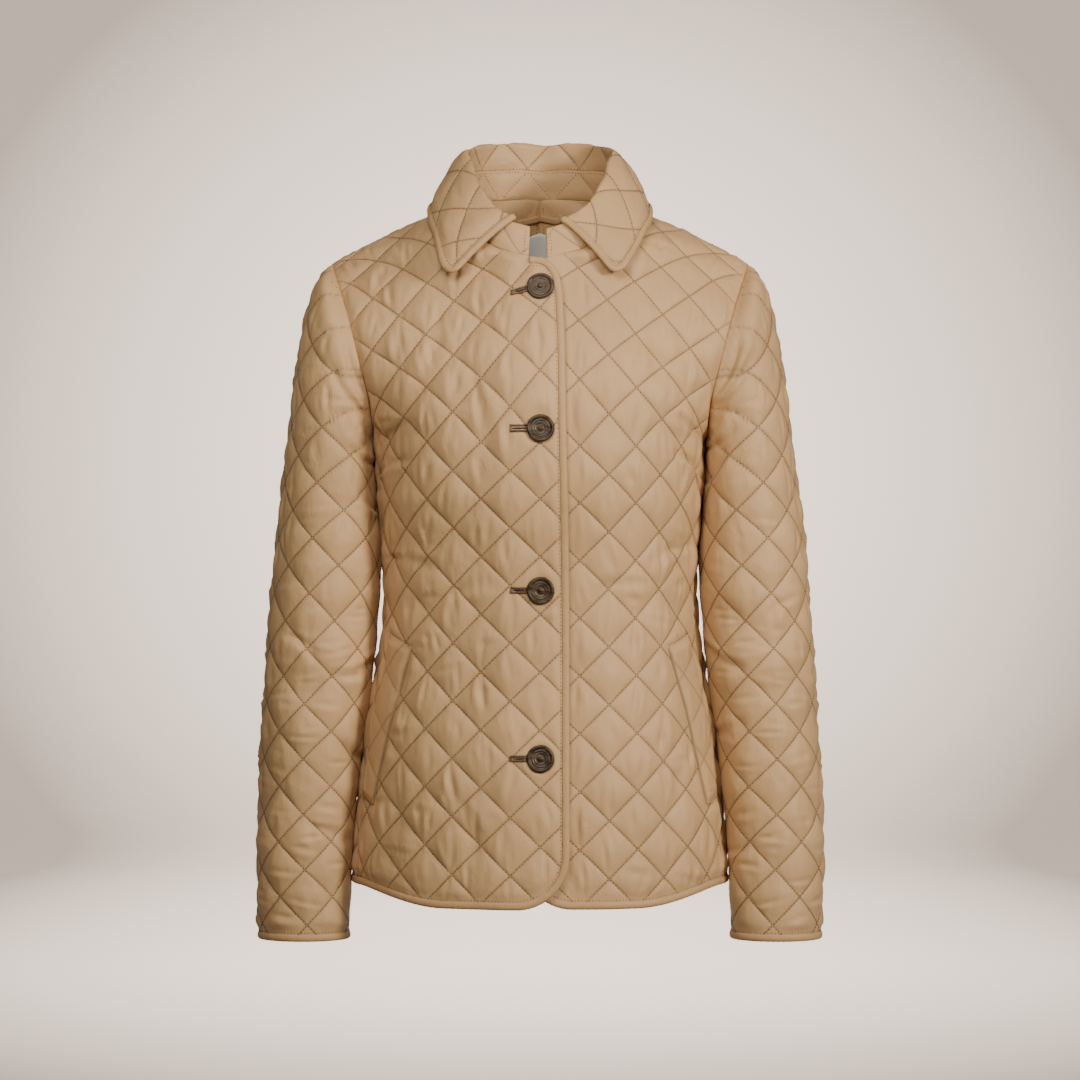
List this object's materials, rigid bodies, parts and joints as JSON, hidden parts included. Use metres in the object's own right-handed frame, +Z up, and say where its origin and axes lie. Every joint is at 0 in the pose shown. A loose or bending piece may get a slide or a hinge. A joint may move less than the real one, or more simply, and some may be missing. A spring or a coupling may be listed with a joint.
{
  "type": "quilted jacket",
  "caption": "Hip-length quilted jacket with a turned-down collar, long sleeves, a buttoned front with rounded hem corners, slanted welt pockets and bound edges.",
  "frame": {"origin": "middle of the neck at the shoulder tops, where the collar and shoulders are held by a body or hanger", "axes": "+Z up along the length of the jacket, the fronts face -Y, the wearer's right is at -X"},
  "size_m": [0.5252, 0.2666, 0.7422],
  "materials": {
    "quilted_cloth": "tan satin-weave cloth quilted in a bias lattice",
    "binding_cloth": "plain bias strip of the same tan cloth",
    "button_horn": "dark brown horn-like turned buttons",
    "label_satin": "blank pale grey satin"
  },
  "bodies": {
    "root": {"front_right": "quilted_cloth", "front_left": "quilted_cloth", "back_right": "quilted_cloth", "back_left": "quilted_cloth", "sleeve_right": "quilted_cloth", "sleeve_left": "quilted_cloth", "collar_stand": "quilted_cloth", "collar_fall": "quilted_cloth", "pocket_welt_right": "quilted_cloth", "pocket_welt_left": "quilted_cloth", "binding_front_right": "binding_cloth", "binding_front_left": "binding_cloth", "binding_hem_back": "binding_cloth", "binding_collar": "binding_cloth", "binding_cuff_right": "binding_cloth", "binding_cuff_left": "binding_cloth", "button_1": "button_horn", "button_2": "button_horn", "button_3": "button_horn", "button_4": "button_horn", "hanger_loop": "binding_cloth", "neck_label": "label_satin"}
  },
  "joints": []
}
